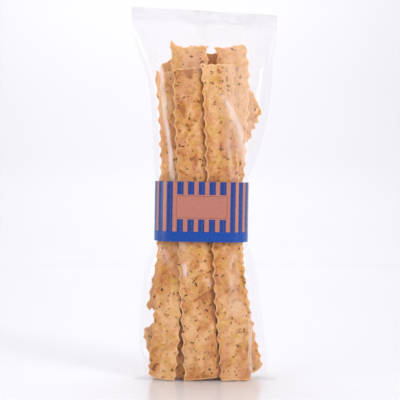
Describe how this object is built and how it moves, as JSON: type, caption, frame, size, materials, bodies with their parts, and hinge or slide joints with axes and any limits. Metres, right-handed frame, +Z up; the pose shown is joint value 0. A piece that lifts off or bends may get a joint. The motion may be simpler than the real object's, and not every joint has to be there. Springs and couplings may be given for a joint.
{
  "type": "bag of breadsticks",
  "caption": "Clear sealed film bag filled with flat, fluted, seeded breadsticks, held round its waist by a striped paper band, standing upright on its bottom seam.",
  "frame": {"origin": "on the surface the bag stands on, in the middle of the bag's width and depth", "axes": "+Z up along the breadsticks to the top seal, +X to the right across the band's face, the shown face towards -Y"},
  "size_m": [0.137, 0.0464, 0.35],
  "materials": {
    "film": "clear glossy film over pale golden breadsticks",
    "paper": "uncoated paper printed with blue and terracotta stripes",
    "breadstick": "dry baked crust, pale gold with toasted patches",
    "seed": "dark baked-in seeds"
  },
  "bodies": {
    "root": {"bag": "film", "band": "paper"}
  },
  "joints": []
}
